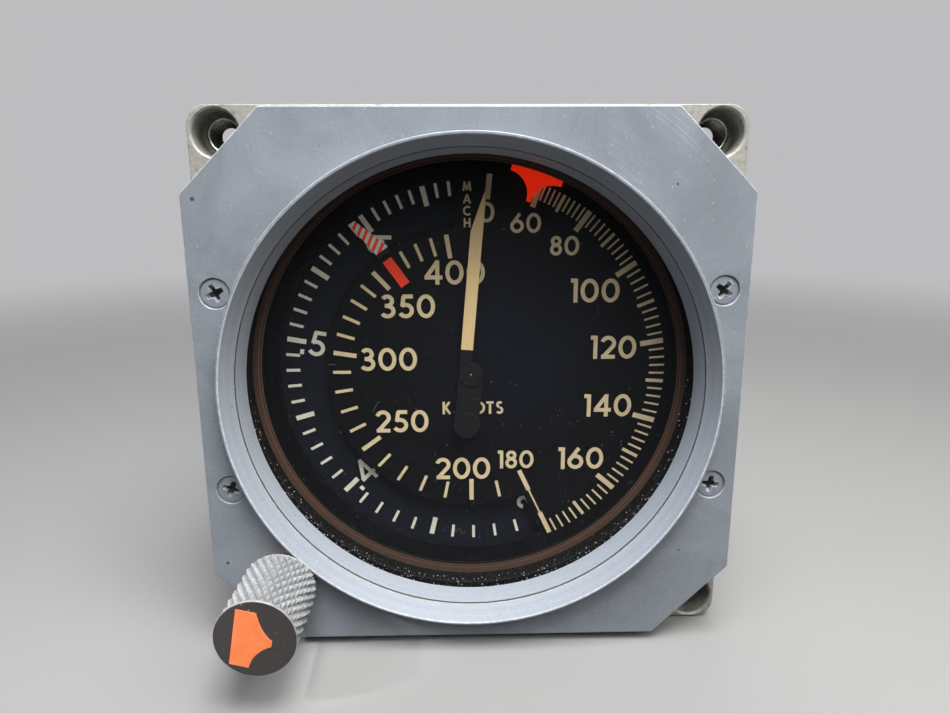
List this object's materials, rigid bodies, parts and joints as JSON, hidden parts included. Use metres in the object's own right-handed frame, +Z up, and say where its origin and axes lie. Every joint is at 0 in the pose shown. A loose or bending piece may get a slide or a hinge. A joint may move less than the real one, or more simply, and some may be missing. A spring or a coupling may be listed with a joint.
{
  "type": "airspeed indicator",
  "caption": "Round-cased aircraft airspeed indicator with an octagonal bezel, knots dial, altitude-driven Mach disk, striped limit pointer and knob-set speed bug.",
  "frame": {"origin": "on the dial axis, in the plane of the flange's back where the round case body starts", "axes": "+Y along the dial axis towards the case's rear, so the dial faces -Y; +Z up on the dial; +X to the right seen from the front"},
  "size_m": [0.0834, 0.1273, 0.0846],
  "materials": {
    "cast_aluminium": "as cast",
    "plated_steel": "satin plating",
    "grey_paint": "satin paint, worn at the edges",
    "rubber": "matte",
    "glass": "clear",
    "black_paint": "matte",
    "brown_phenolic": "satin",
    "red_paint": "matte",
    "bright_aluminium": "bright, knurled",
    "steel": "satin",
    "brass": "satin",
    "bronze": "satin",
    "dial_paint": "matte",
    "cream_paint": "matte"
  },
  "bodies": {
    "case_body": {"case_flange": "cast_aluminium", "case_barrel": "cast_aluminium", "mount_inserts": "plated_steel", "bezel": "grey_paint", "bezel_screws": "plated_steel", "bezel_gasket": "rubber", "inner_ring": "grey_paint", "glass": "glass", "glass_gasket": "rubber", "spacer_ring": "black_paint", "knob_bush": "brass", "knob_seal": "rubber", "dial": "dial_paint", "dial_screws": "black_paint", "hairspring": "steel", "hairspring_stud": "brass", "front_plate": "brass", "rear_plate": "brass", "pillars": "brass", "pillar_screws": "steel", "movement_screws": "steel", "plate_bushes": "bronze", "airspeed_capsule": "bronze", "airspeed_bracket": "brass", "aneroid_capsule": "bronze", "aneroid_bracket": "brass", "bracket_screws": "steel", "pitot_union": "brass", "pitot_tube": "bronze"},
    "bug_knob": {"knob": "bright_aluminium", "knob_face": "black_paint", "knob_set_screw": "steel", "knob_shaft": "steel", "knob_pinion": "brass"},
    "bug_carrier": {"bug_ring": "brown_phenolic", "bug": "red_paint"},
    "airspeed_rocker": {"airspeed_shaft": "steel", "airspeed_sector": "brass", "airspeed_crank": "steel"},
    "pointer": {"airspeed_pointer": "cream_paint", "pointer_staff": "steel", "hairspring_collet": "brass"},
    "airspeed_push_link": {"airspeed_link": "steel"},
    "altitude_rocker": {"altitude_shaft": "steel", "disk_sector": "brass", "limit_sector": "brass", "altitude_crank": "steel"},
    "mach_dial": {"mach_disk": "dial_paint", "disk_pipe": "brass", "disk_gear": "brass"},
    "limit_hand": {"limit_pointer": "red_paint", "limit_pipe": "brass", "limit_gear": "brass"},
    "altitude_push_link": {"altitude_link": "steel"}
  },
  "joints": [
    {"name": "knob_turn", "type": "hinge", "parent": "case_body", "child": "bug_knob", "pos_m": [-0.03012, 0, -0.03012], "axis": [0, 1, 0], "continuous": true},
    {"name": "bug_turn", "type": "hinge", "parent": "case_body", "child": "bug_carrier", "pos_m": [0, 0, 0], "axis": [0, 1, 0], "continuous": true},
    {"name": "airspeed_rock", "type": "hinge", "parent": "case_body", "child": "airspeed_rocker", "pos_m": [0.0071, 0, 0.0204], "axis": [0, 1, 0], "range_deg": [-43, 0], "stiffness_Nm_per_rad": 0.004, "springref_deg": 2.86},
    {"name": "pointer_turn", "type": "hinge", "parent": "case_body", "child": "pointer", "pos_m": [0, 0, 0], "axis": [0, 1, 0], "range_deg": [0, 345]},
    {"name": "airspeed_lift", "type": "slide", "parent": "case_body", "child": "airspeed_push_link", "axis": [0, 0, 1], "range_m": [0, 0.0023], "deforming": ["airspeed_capsule"]},
    {"name": "altitude_rock", "type": "hinge", "parent": "case_body", "child": "altitude_rocker", "pos_m": [-0.01291, 0, -0.01656], "axis": [0, 1, 0], "range_deg": [-4, 36], "stiffness_Nm_per_rad": 0.004},
    {"name": "mach_turn", "type": "hinge", "parent": "case_body", "child": "mach_dial", "pos_m": [0, 0, 0], "axis": [0, 1, 0], "range_deg": [-217, 25]},
    {"name": "limit_turn", "type": "hinge", "parent": "case_body", "child": "limit_hand", "pos_m": [0, 0, 0], "axis": [0, 1, 0], "range_deg": [-72, 9]},
    {"name": "altitude_lift", "type": "slide", "parent": "case_body", "child": "altitude_push_link", "axis": [0, 0, 1], "range_m": [-0.0019, 0.00025], "deforming": ["aneroid_capsule"]}
  ],
  "couplings": [
    {"joint": "bug_turn", "follows": "knob_turn", "ratio": -0.14516},
    {"joint": "pointer_turn", "follows": "airspeed_rock", "ratio": -8},
    {"joint": "airspeed_lift", "follows": "airspeed_rock", "m_per_rad": -0.00293},
    {"joint": "mach_turn", "follows": "altitude_rock", "ratio": -6},
    {"joint": "limit_turn", "follows": "altitude_rock", "ratio": -1.9787},
    {"joint": "altitude_lift", "follows": "altitude_rock", "m_per_rad": -0.002939}
  ]
}
